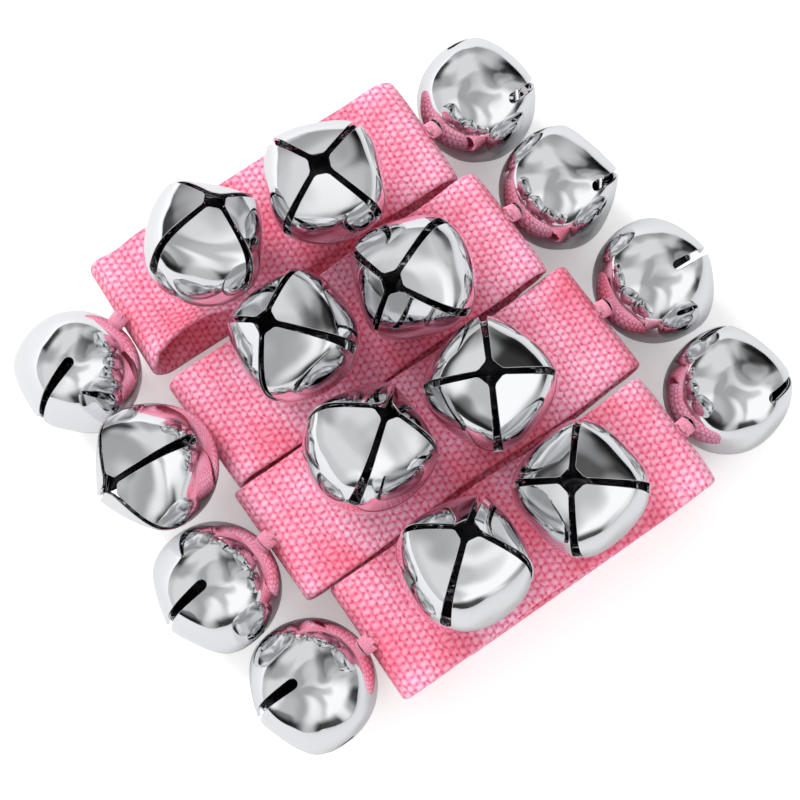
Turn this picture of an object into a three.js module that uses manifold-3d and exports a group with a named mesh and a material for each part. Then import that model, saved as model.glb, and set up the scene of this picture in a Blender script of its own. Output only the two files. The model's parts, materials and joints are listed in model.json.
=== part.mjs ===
// Four bell bracelets lying side by side: each is a webbing wrist band, closed on itself into a
// flattened loop, with four jingle bells sewn on by their wire shanks.
// Millimetres, +Z up. X runs along the bands, +Y points to the rear band.
import * as THREE from 'three';
import { mergeVertices } from 'three/addons/utils/BufferGeometryUtils.js';
import Module from 'manifold-3d';

const wasm = await Module();
wasm.setup();

// Driving sizes
const webbing = { width: 24.5, thickness: 1.3 };
const loop = { length: 77, topHeight: 15, foldRadius: 4.5 };
const closure = { length: 39, innerOverlap: 38, rampRun: 9, offset: 3 };
const hookTape = { length: 22, width: 21, thickness: 1 };
const loopPad = { length: 30, thickness: 1.2 };
const bell = {
  diameter: 24.4, backDepth: 11.8, frontDepth: 11.2, wall: 0.8,
  slitWidth: 1.3, slitEndRadius: 1.05, slitEndHeight: 0.7, mouthRadius: 2.1, shankHole: 2,
};
const shank = { wire: 1, loopRadius: 1, height: 1.6, footReach: 2.6, footGap: 0.45 };
const pellet = { diameter: 6.4, facetSag: 0.45 };
const rowGap = 0.9;
const seamGap = 0.3;
const touchGap = 0.3;
const groundGap = 0.03;
const weldGap = 0.0003;
const threadGap = 0.55;
const overrun = 2;

// Shares: how the bells and rows are spread, as parts of the sizes that they follow
const pitchShare = 1.23;
const rowShare = 1.04;
const petalFlatShare = 0.2;
const domeShare = 0.8;
const skewShare = 0.11;
const topLineShares = [0.5, 0.6];

// Facet counts
const facets = {
  shellAround: 16, shellRings: 4, cavityAround: 12, cavityRings: 3, slitEnd: 6, hole: 8,
  wireAround: 5, wireAlong: 13, wireLoop: 6, fold: 8, lap: 4, top: 9, flap: 6,
};

const bellRadius = bell.diameter / 2;
const bellPitch = pitchShare * bell.diameter;
const rowPitch = Math.max(webbing.width + rowGap, rowShare * bell.diameter);
const reach = bell.backDepth + shank.height;
const seatRadius = loop.foldRadius + shank.wire / 2 + threadGap;

// One row for each bracelet. Ends are in row pitches, folds in half loop lengths, fold heights in
// loop heights. A top bell has its seat along the band in bell pitches and across it in widths,
// and leans towards a compass angle. A side bell has its seat across the fold, its swing away from
// the band's line, and its shank above (1) or below (-1) the place where it touches the fold.
// Angles are in degrees.
const bracelets = [
  {
    endsShare: [3.13, 3.012], foldsShare: [-0.93, 0.915], foldHeightShare: [0.66, 0.86], skew: 1,
    top: [
      { alongShare: -0.69, acrossShare: -0.19, lean: 28, towards: 22, twist: 74 },
      { alongShare: 0.357, acrossShare: -0.15, lean: 6, towards: 216, twist: 75 },
    ],
    left: { acrossShare: -0.04, swing: 21, twist: 84, riseShare: 0, above: 1 },
    right: { acrossShare: -0.08, swing: 8, twist: 36, riseShare: 0, above: 1 },
  },
  {
    endsShare: [1.98, 2.028], foldsShare: [-0.915, 0.98], foldHeightShare: [0.66, 0.88], skew: 0,
    top: [
      { alongShare: -0.25, acrossShare: -0.07, lean: 23, towards: 148, twist: 72 },
      { alongShare: 0.63, acrossShare: -0.04, lean: 30, towards: 192, twist: 10 },
    ],
    left: { acrossShare: -0.04, swing: 0, twist: 81, riseShare: 0.37, above: -1 },
    right: { acrossShare: 0.005, swing: -1, twist: 31, riseShare: 0, above: 1 },
  },
  {
    endsShare: [0.996, 1.02], foldsShare: [-0.951, 1.075], foldHeightShare: [0.72, 0.72], skew: 0,
    top: [
      { alongShare: -0.62, acrossShare: -0.02, lean: 30, towards: 20, twist: 20 },
      { alongShare: 0.43, acrossShare: -0.05, lean: 5, towards: 200, twist: 41 },
    ],
    left: { acrossShare: 0.038, swing: 6, twist: 0, riseShare: 0, above: 1 },
    right: { acrossShare: 0.02, swing: -4, twist: 9, riseShare: 0, above: 1 },
  },
  {
    endsShare: [0.012, -0.012], foldsShare: [-0.835, 1.02], foldHeightShare: [0.8, 0.84], skew: 0,
    top: [
      { alongShare: -0.45, acrossShare: -0.14, lean: 22, towards: 53, twist: 75 },
      { alongShare: 0.57, acrossShare: -0.065, lean: 15, towards: 158, twist: 74 },
    ],
    left: { acrossShare: -0.016, swing: 0, twist: 5, riseShare: 0, above: 1 },
    right: { acrossShare: -0.037, swing: 6, twist: 35, riseShare: 0, above: 1 },
  },
];

// Materials
const nylon = new THREE.MeshStandardMaterial({ color: 0xf77fa3, roughness: 0.85, metalness: 0 });
const hookNylon = new THREE.MeshStandardMaterial({ color: 0xf6a3bb, roughness: 0.9, metalness: 0 });
const chrome = new THREE.MeshStandardMaterial({ color: 0xd9dadd, roughness: 0.12, metalness: 1 });
const steelWire = new THREE.MeshStandardMaterial({ color: 0xb9babd, roughness: 0.3, metalness: 1 });
const pelletSteel = new THREE.MeshStandardMaterial({ color: 0x8f9196, roughness: 0.45, metalness: 1 });

const radians = THREE.MathUtils.degToRad;

// Solids for joining and cutting
function toSolid(geometry) {
  const bare = geometry.clone();
  bare.deleteAttribute('normal');
  bare.deleteAttribute('uv');
  const merged = mergeVertices(bare, weldGap);
  return new wasm.Manifold(new wasm.Mesh({
    numProp: 3,
    vertProperties: new Float32Array(merged.attributes.position.array),
    triVerts: new Uint32Array(merged.index.array),
  }));
}

function toGeometry(solid) {
  const mesh = solid.getMesh();
  const geometry = new THREE.BufferGeometry();
  geometry.setAttribute('position', new THREE.BufferAttribute(new Float32Array(mesh.vertProperties), 3));
  geometry.setIndex(new THREE.BufferAttribute(new Uint32Array(mesh.triVerts), 1));
  geometry.computeVertexNormals();
  return geometry;
}

// Bell shell, axis along +Z with the mouth in front and the equator at height zero.
// The back is a round dome. In front, four petals run flat between ridges at the slits.
function domeSolid(radius, backDepth, frontDepth, around, rings) {
  const points = [new THREE.Vector3(0, 0, -backDepth)];
  for (let ring = 1; ring < 2 * rings; ring++) {
    const angle = (ring / rings - 1) * Math.PI / 2;
    const front = Math.max(Math.sin(angle), 0);
    const height = Math.sin(angle) * (angle < 0 ? backDepth : frontDepth);
    const spread = radius * (angle < 0 ? Math.cos(angle) : Math.cos(angle) ** domeShare);
    for (let step = 0; step < around; step++) {
      const turn = (step / around) * 2 * Math.PI;
      const flat = petalFlatShare * front * (1 - Math.cos(4 * turn)) / 2;
      const r = spread * (1 - flat);
      points.push(new THREE.Vector3(r * Math.cos(turn), r * Math.sin(turn), height));
    }
  }
  points.push(new THREE.Vector3(0, 0, frontDepth));
  const last = points.length - 1;
  const faces = [];
  for (let step = 0; step < around; step++) {
    const next = (step + 1) % around;
    faces.push(0, 1 + next, 1 + step);
    for (let ring = 0; ring < 2 * rings - 2; ring++) {
      const low = 1 + ring * around;
      const high = low + around;
      faces.push(low + step, low + next, high + next, low + step, high + next, high + step);
    }
    const top = last - around;
    faces.push(top + step, top + next, last);
  }
  const geometry = new THREE.BufferGeometry().setFromPoints(points);
  geometry.setIndex(faces);
  return toSolid(geometry);
}

function bellShell() {
  const inside = domeSolid(
    bellRadius - bell.wall, bell.backDepth - bell.wall, bell.frontDepth - bell.wall,
    facets.cavityAround, facets.cavityRings);
  const outside = domeSolid(
    bellRadius, bell.backDepth, bell.frontDepth, facets.shellAround, facets.shellRings);
  let shell = outside.subtract(inside);
  const slitHeight = bell.frontDepth - bell.slitEndHeight + overrun;
  for (let slit = 0; slit < 2; slit++) {
    const plate = new THREE.BoxGeometry(bell.diameter + overrun, bell.slitWidth, slitHeight);
    plate.translate(0, 0, bell.slitEndHeight + slitHeight / 2);
    plate.rotateZ(slit * Math.PI / 2);
    const end = new THREE.CylinderGeometry(
      bell.slitEndRadius, bell.slitEndRadius, bell.diameter + overrun, facets.slitEnd);
    end.rotateZ(Math.PI / 2);
    end.translate(0, 0, bell.slitEndHeight);
    end.rotateZ(slit * Math.PI / 2);
    shell = shell.subtract(toSolid(plate)).subtract(toSolid(end));
  }
  const mouth = new THREE.CylinderGeometry(
    bell.mouthRadius, bell.mouthRadius, 2 * overrun, facets.hole);
  mouth.rotateX(Math.PI / 2);
  mouth.rotateZ(Math.PI / facets.hole);
  mouth.translate(0, 0, bell.frontDepth);
  const hole = new THREE.CylinderGeometry(
    bell.shankHole, bell.shankHole, 2 * overrun, facets.hole);
  hole.rotateX(Math.PI / 2);
  hole.translate(0, 0, -bell.backDepth);
  return toGeometry(shell.subtract(toSolid(mouth)).subtract(toSolid(hole)));
}

// Shank: one bent wire whose loop stands out behind the dome and whose feet spread inside it
function shankWire() {
  const wireRadius = shank.wire / 2;
  const footHeight = -(bell.backDepth - bell.wall - shank.footGap - wireRadius);
  const footEnd = footHeight + wireRadius;
  const loopCentre = -(reach - shank.loopRadius);
  const points = [
    new THREE.Vector3(-shank.footReach, 0, footEnd),
    new THREE.Vector3(-shank.loopRadius - wireRadius, 0, footHeight),
    new THREE.Vector3(-shank.loopRadius, 0, footHeight - wireRadius),
  ];
  for (let step = 0; step <= facets.wireLoop; step++) {
    const angle = Math.PI + (step / facets.wireLoop) * Math.PI;
    points.push(new THREE.Vector3(
      shank.loopRadius * Math.cos(angle), 0, loopCentre + shank.loopRadius * Math.sin(angle)));
  }
  points.push(
    new THREE.Vector3(shank.loopRadius, 0, footHeight - wireRadius),
    new THREE.Vector3(shank.loopRadius + wireRadius, 0, footHeight),
    new THREE.Vector3(shank.footReach, 0, footEnd));
  const section = new THREE.Shape();
  for (let side = 0; side < facets.wireAround; side++) {
    const angle = (side / facets.wireAround) * 2 * Math.PI;
    const x = wireRadius * Math.cos(angle);
    const y = wireRadius * Math.sin(angle);
    if (side === 0) section.moveTo(x, y);
    else section.lineTo(x, y);
  }
  const path = new THREE.CatmullRomCurve3(points, false, 'centripetal');
  return new THREE.ExtrudeGeometry(
    section, { steps: facets.wireAlong, bevelEnabled: false, extrudePath: path });
}

// Webbing: a line in the band's XZ plane, given a thickness and run across the width
function webbingSolid(line, thickness, width) {
  const near = [];
  const far = [];
  line.forEach((point, i) => {
    const before = line[Math.max(i - 1, 0)];
    const after = line[Math.min(i + 1, line.length - 1)];
    const along = new THREE.Vector2().subVectors(after, before).normalize();
    const side = new THREE.Vector2(-along.y, along.x).multiplyScalar(thickness / 2);
    near.push(point.clone().add(side));
    far.unshift(point.clone().sub(side));
  });
  const outline = new THREE.Shape([...near, ...far]);
  const geometry = new THREE.ExtrudeGeometry(outline, { depth: width, bevelEnabled: false });
  geometry.rotateX(Math.PI / 2);
  geometry.translate(0, width / 2, 0);
  return geometry;
}

function foldLine(centre, side, from, to) {
  const points = [];
  const radius = loop.foldRadius - webbing.thickness / 2;
  for (let step = 0; step <= facets.fold; step++) {
    const angle = radians(from + (to - from) * step / facets.fold);
    points.push(new THREE.Vector2(
      centre.x + side * radius * Math.cos(angle), centre.y + radius * Math.sin(angle)));
  }
  return points;
}

// Heights of the closure's layers, from the surface that the bracelet lies on
const layers = {
  flap: webbing.thickness / 2,
  hooks: webbing.thickness + seamGap + hookTape.thickness / 2,
  pad: webbing.thickness + 2 * seamGap + hookTape.thickness + loopPad.thickness / 2,
  inner: webbing.thickness + 2 * seamGap + hookTape.thickness + loopPad.thickness + webbing.thickness / 2,
};
const flapRight = closure.length / 2 + closure.offset;
const flapLeft = flapRight - closure.length;

// The band's line, from its inner end to the left fold, over the top, round the right fold and
// down to the flap's root
function strapLine(folds) {
  const smooth = (points, steps) => {
    const curve = new THREE.CatmullRomCurve3(
      points.map((p) => new THREE.Vector3(p.x, p.y, 0)), false, 'centripetal');
    return curve.getPoints(steps).map((p) => new THREE.Vector2(p.x, p.y));
  };
  const leftFold = foldLine(folds.left, -1, -100, 90);
  const rightFold = foldLine(folds.right, 1, 90, -110);
  const innerLeft = new THREE.Vector2(flapLeft, layers.inner);
  const topLine = loop.topHeight - webbing.thickness / 2;
  const root = new THREE.Vector2(flapRight + seamGap, layers.flap);
  const rootRise = new THREE.Vector2(flapRight + closure.rampRun / 2, layers.flap + webbing.thickness);
  return [
    new THREE.Vector2(flapLeft + closure.innerOverlap, layers.inner),
    ...smooth([innerLeft, innerLeft.clone().lerp(leftFold[0], 0.5), leftFold[0]], facets.lap),
    ...leftFold.slice(1),
    ...smooth([
      leftFold.at(-1),
      new THREE.Vector2(folds.left.x * topLineShares[0], topLine),
      new THREE.Vector2(folds.right.x * topLineShares[1], topLine),
      rightFold[0],
    ], facets.top).slice(1),
    ...rightFold.slice(1),
    rightFold.at(-1).clone().lerp(rootRise, 0.5),
    rootRise,
    root,
  ];
}

// A loop pushed out of true: its layers slide across each other towards the left fold
function skewLoop(geometry, amount) {
  const place = geometry.attributes.position;
  for (let i = 0; i < place.count; i++) {
    const left = Math.max(-place.getX(i) / (loop.length / 2), 0);
    const below = 1 - place.getZ(i) / loop.topHeight;
    place.setY(i, place.getY(i) - amount * left * left * below);
  }
  return geometry;
}

function strapSolid(folds, skew) {
  const band = toSolid(webbingSolid(strapLine(folds), webbing.thickness, webbing.width));
  const pad = new THREE.BoxGeometry(loopPad.length, hookTape.width, loopPad.thickness + seamGap);
  pad.translate(flapLeft + closure.length / 2, 0, layers.pad + seamGap / 2);
  return skewLoop(toGeometry(band.add(toSolid(pad))), skew);
}

function flapSolid() {
  const line = [];
  for (let step = 0; step <= facets.flap; step++) {
    line.push(new THREE.Vector2(flapLeft + closure.length * step / facets.flap, layers.flap));
  }
  return webbingSolid(line, webbing.thickness, webbing.width);
}

// Bells
const shellGeometry = bellShell();
const shankGeometry = shankWire();
const pelletGeometry = new THREE.IcosahedronGeometry(pellet.diameter / 2, 1);

function addMesh(group, name, geometry, material) {
  const mesh = new THREE.Mesh(geometry, material);
  mesh.name = name;
  group.add(mesh);
  return mesh;
}

// A bell's frame: its axis runs from the shank to the mouth, and its shank's loop lies level
function bellFrame(centre, axis) {
  const level = new THREE.Vector3(-axis.y, axis.x, 0);
  if (level.lengthSq() === 0) level.set(0, 1, 0);
  level.normalize();
  const third = new THREE.Vector3().crossVectors(axis, level);
  const frame = new THREE.Group();
  frame.quaternion.setFromRotationMatrix(new THREE.Matrix4().makeBasis(level, third, axis));
  frame.position.copy(centre);
  return frame;
}

function addBell(band, name, centre, axis, twist, pelletDrop) {
  const frame = bellFrame(centre, axis);
  band.add(frame);
  const shell = addMesh(frame, `${name}_shell`, shellGeometry, chrome);
  shell.rotation.z = radians(twist);
  addMesh(frame, `${name}_shank`, shankGeometry, steelWire);
  const ball = addMesh(band, `${name}_pellet`, pelletGeometry, pelletSteel);
  ball.position.copy(centre);
  ball.position.z -= pelletDrop;
}

// In an upright bell the pellet lies on the shank's feet, and in a leaning one on the dome
const domeDrop = bell.backDepth - bell.wall - pellet.diameter / 2 - seamGap - pellet.facetSag;

function pelletDrop(lean) {
  const foot = bell.backDepth - bell.wall - shank.footGap - shank.wire / 2;
  const clear = pellet.diameter / 2 + shank.wire / 2 + seamGap;
  const beside = shank.loopRadius + shank.wire / 2;
  const left = clear ** 2 - beside ** 2 - (foot * Math.sin(lean)) ** 2;
  if (left <= 0) return domeDrop;
  return Math.min(domeDrop, foot * Math.cos(lean) - Math.sqrt(left));
}

function addTopBell(band, name, seat) {
  const lean = radians(seat.lean);
  const towards = radians(seat.towards) - band.rotation.z;
  const axis = new THREE.Vector3(
    Math.sin(lean) * Math.cos(towards), Math.sin(lean) * Math.sin(towards), Math.cos(lean));
  const base = new THREE.Vector3(
    seat.alongShare * bellPitch, seat.acrossShare * webbing.width,
    loop.topHeight + shank.wire / 2 + threadGap);
  const centre = base.clone().addScaledVector(axis, reach);
  addBell(band, name, centre, axis, seat.twist, pelletDrop(lean));
}

// A side bell rests on the ground, or rides up, and its dome comes up to the fold. Its shank
// meets the fold above or below that place.
function addSideBell(band, name, seat, fold, side) {
  const swing = radians(seat.swing);
  const height = bellRadius * (1 + seat.riseShare) + groundGap;
  const span = loop.foldRadius + bell.backDepth + touchGap;
  const rise = Math.asin((height - fold.y) / span);
  const flatReach = reach * Math.cos(swing);
  const open = Math.acos(
    (span ** 2 + seatRadius ** 2 - flatReach ** 2) / (2 * span * seatRadius));
  const at = (angle, radius) => new THREE.Vector3(
    fold.x + side * radius * Math.cos(angle), 0, fold.y + radius * Math.sin(angle));
  const base = at(rise + seat.above * open, seatRadius);
  base.y = seat.acrossShare * webbing.width;
  const centre = at(rise, span);
  centre.y = base.y + side * reach * Math.sin(swing);
  const axis = centre.clone().sub(base).normalize();
  addBell(band, name, centre, axis, seat.twist, domeDrop);
}

function addBracelet(parent, number, row) {
  const name = `bracelet_${number}`;
  const band = new THREE.Group();
  const [leftEnd, rightEnd] = row.endsShare.map((share) => share * rowPitch);
  band.position.y = (leftEnd + rightEnd) / 2;
  band.rotation.z = Math.atan2(rightEnd - leftEnd, loop.length);
  parent.add(band);
  const [left, right] = row.foldsShare.map((share, i) => new THREE.Vector2(
    share * loop.length / 2 + (i ? -1 : 1) * loop.foldRadius,
    row.foldHeightShare[i] * loop.topHeight));
  addMesh(band, `${name}_strap`, strapSolid({ left, right }, row.skew * skewShare * webbing.width), nylon);
  addMesh(band, `${name}_flap`, flapSolid(), nylon);
  const hooks = addMesh(band, `${name}_hook_tape`,
    new THREE.BoxGeometry(hookTape.length, hookTape.width, hookTape.thickness), hookNylon);
  hooks.position.set(flapLeft + closure.length / 2, 0, layers.hooks);
  addTopBell(band, `${name}_bell_b`, row.top[0]);
  addTopBell(band, `${name}_bell_c`, row.top[1]);
  addSideBell(band, `${name}_bell_a`, row.left, left, -1);
  addSideBell(band, `${name}_bell_d`, row.right, right, 1);
}

const rows = new THREE.Group();
bracelets.forEach((row, i) => addBracelet(rows, i + 1, row));

// The origin is under the middle of the whole set, on the surface that it lies on
rows.updateMatrixWorld(true);
const box = new THREE.Box3().setFromObject(rows, true);
const middle = box.getCenter(new THREE.Vector3());
rows.position.set(-middle.x, -middle.y, -box.min.z);

const part = new THREE.Group();
part.add(rows);
part.updateMatrixWorld(true);

export default part;
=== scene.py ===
"""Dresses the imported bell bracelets: woven webbing wrist bands with chromed bells sewn on."""

import json
import math

import bpy
from bpy.props import FloatProperty, FloatVectorProperty, IntProperty, PointerProperty
from bpy.types import Operator, Panel, PropertyGroup
from mathutils import Matrix, Vector


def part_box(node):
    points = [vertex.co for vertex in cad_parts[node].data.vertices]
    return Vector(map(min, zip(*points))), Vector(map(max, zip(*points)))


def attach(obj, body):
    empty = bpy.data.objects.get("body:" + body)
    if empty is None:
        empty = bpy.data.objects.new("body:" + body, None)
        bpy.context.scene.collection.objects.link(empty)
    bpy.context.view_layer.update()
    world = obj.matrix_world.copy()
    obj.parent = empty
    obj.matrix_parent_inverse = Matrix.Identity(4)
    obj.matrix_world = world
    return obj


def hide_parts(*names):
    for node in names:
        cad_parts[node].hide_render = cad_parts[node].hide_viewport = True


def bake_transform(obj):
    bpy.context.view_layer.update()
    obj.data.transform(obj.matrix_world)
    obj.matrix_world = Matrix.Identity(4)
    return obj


bl_info = {
    "name": "Bell Bracelets",
    "version": (1, 0, 0),
    "blender": (4, 5, 0),
    "location": "3D View > Sidebar > Bell Bracelets",
    "description": "Makes webbing wrist bands with jingle bells on the packed frame",
    "category": "Object",
}

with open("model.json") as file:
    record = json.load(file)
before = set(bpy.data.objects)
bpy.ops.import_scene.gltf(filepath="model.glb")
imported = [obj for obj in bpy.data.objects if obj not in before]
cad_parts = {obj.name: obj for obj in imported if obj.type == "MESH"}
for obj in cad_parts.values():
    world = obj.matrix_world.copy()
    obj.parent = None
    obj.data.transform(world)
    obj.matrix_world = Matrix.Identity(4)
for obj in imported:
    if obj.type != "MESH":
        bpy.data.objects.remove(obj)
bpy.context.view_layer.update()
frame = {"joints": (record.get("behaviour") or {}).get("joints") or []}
MM = 0.001
JOINTS = {joint["name"]: joint for joint in frame["joints"]}

# Each band's folds, as shares of half the loop's length and of its height, how far it is skewed,
# and how far its front selvedge curls open at the left fold, both in millimetres
BANDS = {
    1: {"folds": (-0.93, 0.915), "heights": (0.66, 0.86), "skew": 2.695, "curl": 2.8},
    2: {"folds": (-0.915, 0.98), "heights": (0.66, 0.88), "skew": 0.0, "curl": 0.0},
    3: {"folds": (-0.951, 1.075), "heights": (0.72, 0.72), "skew": 0.0, "curl": 0.0},
    4: {"folds": (-0.835, 1.02), "heights": (0.8, 0.84), "skew": 0.0, "curl": 0.0},
}

# How each bell that rocks leans and towards which compass angle, in degrees. The axis of a bell
# that swivels is its joint's own.
LEANS = {
    "1b": (28, 22), "1c": (6, 216), "2c": (30, 192), "3b": (30, 20),
    "3c": (5, 200), "4b": (22, 53), "4c": (15, 158),
}

# The pressed front of a shell from the equator to the mouth: the height as a share of the front
# depth, the distance from the axis at a slit as a share of the radius, and how much nearer the
# middle of a petal is. Up to the fourth place the steel bends over, and then a petal runs flat.
FRONT_SHARES = (
    (0, 1, 0.9), (0.18, 0.997, 0.878), (0.36, 0.974, 0.85), (0.51, 0.922, 0.817),
    (0.635, 0.83, 0.782), (0.745, 0.695, 0.752), (0.865, 0.49, 0.733), (1, 0.21, 0.72),
)

# How far each shell is turned about its own axis, in degrees
TWISTS = {
    "1a": 84, "1b": 74, "1c": 75, "1d": 36, "2a": 81, "2b": 72, "2c": 10, "2d": 31,
    "3a": 0, "3b": 20, "3c": 41, "3d": 9, "4a": 5, "4b": 75, "4c": 74, "4d": 35,
}

# Shells whose petals were pressed fuller than the others, so that they look round
FULL = ("1d", "3d", "4d", "3a", "4a")

# The closure: how far right of the band's middle it lies, how far the band's inner end reaches
# back, the step down to the flap, the gap at the flap's hinge and the one between two layers
CLOSURE_OFFSET = 3 * MM
INNER_OVERLAP = 38 * MM
RAMP_RUN = 9 * MM
SEAM_GAP = 0.3 * MM
LAYER_GAP = 0.3 * MM

# Length, width and thickness of a tape, and of the hook tape's base under its hooks
HOOK_TAPE = (22 * MM, 21 * MM, 1 * MM)
LOOP_TAPE = (30 * MM, 21 * MM, 1.2 * MM)
HOOK_BASE = 0.6 * MM


def linear(code):
    """An sRGB hex colour as linear red, green and blue."""
    channels = [int(code[i:i + 2], 16) / 255 for i in (0, 2, 4)]
    return [c / 12.92 if c <= 0.04045 else ((c + 0.055) / 1.055) ** 2.4 for c in channels]


class WebbingSettings(PropertyGroup):
    """Sizes and colours of the bands."""

    width: FloatProperty(
        name="Width", description="Width of the webbing", default=24.5 * MM, unit="LENGTH")
    thickness: FloatProperty(
        name="Thickness", description="Thickness of the webbing", default=1.3 * MM, unit="LENGTH")
    loop_length: FloatProperty(
        name="Loop length", description="Length that the folds' places are shares of",
        default=77 * MM, unit="LENGTH")
    top_height: FloatProperty(
        name="Top height", description="Height of the loop's upper face",
        default=15 * MM, unit="LENGTH")
    fold_radius: FloatProperty(
        name="Fold radius", description="Outer radius of a fold", default=4.5 * MM, unit="LENGTH")
    closure: FloatProperty(
        name="Closure", description="Length of the flap", default=39 * MM, unit="LENGTH")
    pick: FloatProperty(
        name="Pick spacing", description="Repeat of the weave along the band",
        default=3 * MM, unit="LENGTH")
    end: FloatProperty(
        name="End spacing", description="Repeat of the weave across the band",
        default=1.5 * MM, unit="LENGTH")
    # Painted highlight: the light that the yarn crowns catch where they come up
    crown_highlight: FloatVectorProperty(
        name="Yarn crowns", description="Colour of the yarns where they come up",
        size=3, subtype="COLOR", default=linear("FFC6DC"))
    body: FloatVectorProperty(
        name="Yarn", description="Colour of the dyed yarn",
        size=3, subtype="COLOR", default=linear("F88FB2"))
    # Painted shade: the shade that falls in the pits between the yarns
    pit_shade: FloatVectorProperty(
        name="Pits", description="Colour between the yarns",
        size=3, subtype="COLOR", default=linear("D23B67"))
    # Painted shade: the deeper coral tint of the band's slow patches of shade
    shade_tint: FloatVectorProperty(
        name="Patches", description="Tint of the places that took more dye",
        size=3, subtype="COLOR", default=linear("F096A4"))
    thread: FloatVectorProperty(
        name="Thread", description="Colour of the sewing thread",
        size=3, subtype="COLOR", default=linear("FF9DBC"))


class BellSettings(PropertyGroup):
    """Sizes of a bell."""

    diameter: FloatProperty(
        name="Diameter", description="Diameter of a shell", default=24.4 * MM, unit="LENGTH")
    back: FloatProperty(
        name="Back depth", description="From the equator to the back of the dome",
        default=11.8 * MM, unit="LENGTH")
    front: FloatProperty(
        name="Front depth", description="From the equator to the mouth",
        default=11.2 * MM, unit="LENGTH")
    wall: FloatProperty(
        name="Wall", description="Thickness of the pressed steel",
        default=0.6 * MM, unit="LENGTH")
    slit: FloatProperty(
        name="Slit width", description="Width of a slit at the mouth",
        default=1.3 * MM, unit="LENGTH")
    slit_end: FloatProperty(
        name="Slit end radius", description="Radius of the round end of a slit",
        default=1.0 * MM, unit="LENGTH")
    mouth: FloatProperty(
        name="Mouth radius", description="From the middle of the mouth to a petal's tip",
        default=1.95 * MM, unit="LENGTH")
    reach: FloatProperty(
        name="Reach", description="From the equator to the middle of the shank's far wire",
        default=13.4 * MM, unit="LENGTH")
    wire: FloatProperty(
        name="Wire", description="Diameter of the shank's wire", default=1 * MM, unit="LENGTH")
    pellet: FloatProperty(
        name="Pellet", description="Diameter of the loose ball", default=6.4 * MM, unit="LENGTH")
    columns: IntProperty(
        name="Columns", description="Faces across one petal", default=22, min=8)
    rows: IntProperty(
        name="Rows", description="Faces from the equator to each end", default=24, min=8)


class StageSettings(PropertyGroup):
    """Camera and light."""

    azimuth: FloatProperty(
        name="Azimuth", description="Where the camera stands round the set",
        default=math.radians(-35), subtype="ANGLE")
    elevation: FloatProperty(
        name="Elevation", description="How high the camera stands",
        default=math.radians(76), subtype="ANGLE")
    distance: FloatProperty(
        name="Distance", description="From the camera to the set", default=290 * MM, unit="LENGTH")
    lens: FloatProperty(name="Lens", description="Focal length in millimetres", default=67.5)
    floor: FloatVectorProperty(
        name="Floor", description="Colour of the floor",
        size=3, subtype="COLOR", default=linear("F4F4F4"))
    mirrored: FloatVectorProperty(
        name="Mirrored floor", description="Colour of the floor that the chrome shows",
        size=3, subtype="COLOR", default=linear("DADBDC"))


# Small tools

def add_node(tree, kind, settings=None, values=None):
    """Adds a node. A value that is another node's socket is linked, and any other is set."""
    made = tree.nodes.new(kind)
    for key, value in (settings or {}).items():
        setattr(made, key, value)
    for key, value in (values or {}).items():
        if isinstance(value, bpy.types.NodeSocket):
            tree.links.new(value, made.inputs[key])
        else:
            made.inputs[key].default_value = value
    return made


def new_material(name):
    """An empty material and its tree, or the one that is there already with no tree."""
    found = bpy.data.materials.get(name)
    if found:
        return found, None
    made = bpy.data.materials.new(name)
    made.use_nodes = True
    made.node_tree.nodes.clear()
    return made, made.node_tree


def stops(ramp, colours):
    """Sets a colour ramp's stops from pairs of place and linear colour."""
    while len(ramp.elements) < len(colours):
        ramp.elements.new(0.5)
    for element, (place, colour) in zip(ramp.elements, colours):
        element.position = place
        element.color = (*colour, 1)


def make_piece(name, mesh, body, replaced, materials):
    """A finished piece that rides on a body and stands for the CAD nodes named."""
    obj = bpy.data.objects.new(name, mesh)
    bpy.context.scene.collection.objects.link(obj)
    mesh.materials.clear()
    for material in materials:
        mesh.materials.append(material)
    if body:
        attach(obj, body)
    if replaced:
        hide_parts(*replaced)
    return obj


def smooth(mesh):
    """Shades every face of a mesh smooth."""
    mesh.polygons.foreach_set("use_smooth", [True] * len(mesh.polygons))


def mesh_from(name, points, faces, uvs=None):
    """A smooth mesh from points and faces, with an optional UV for each face corner."""
    mesh = bpy.data.meshes.new(name)
    mesh.from_pydata(points, [], faces)
    if uvs:
        layer = mesh.uv_layers.new(name="weave")
        for corner, uv in zip(layer.data, uvs):
            corner.uv = uv
    smooth(mesh)
    mesh.update()
    return mesh


def evaluated_mesh(mesh, set_up):
    """The mesh after modifiers that set_up adds to a passing object, as a plain mesh."""
    obj = bpy.data.objects.new("passing", mesh)
    bpy.context.scene.collection.objects.link(obj)
    set_up(obj)
    graph = bpy.context.evaluated_depsgraph_get()
    made = bpy.data.meshes.new_from_object(obj.evaluated_get(graph))
    bpy.data.objects.remove(obj)
    return made


def grown_mesh(source, tree, inputs):
    """What a Geometry Nodes tree makes of a mesh, with the tree's inputs set by name."""
    def set_up(obj):
        modifier = obj.modifiers.new("grow", "NODES")
        modifier.node_group = tree
        for item in tree.interface.items_tree:
            if item.item_type == "SOCKET" and item.in_out == "INPUT" and item.name in inputs:
                modifier[item.identifier] = inputs[item.name]
    return evaluated_mesh(source, set_up)


def moved_copy(mesh, matrix):
    """A copy of a mesh with a place and a turn applied to its points."""
    made = mesh.copy()
    made.transform(matrix)
    return made


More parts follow.
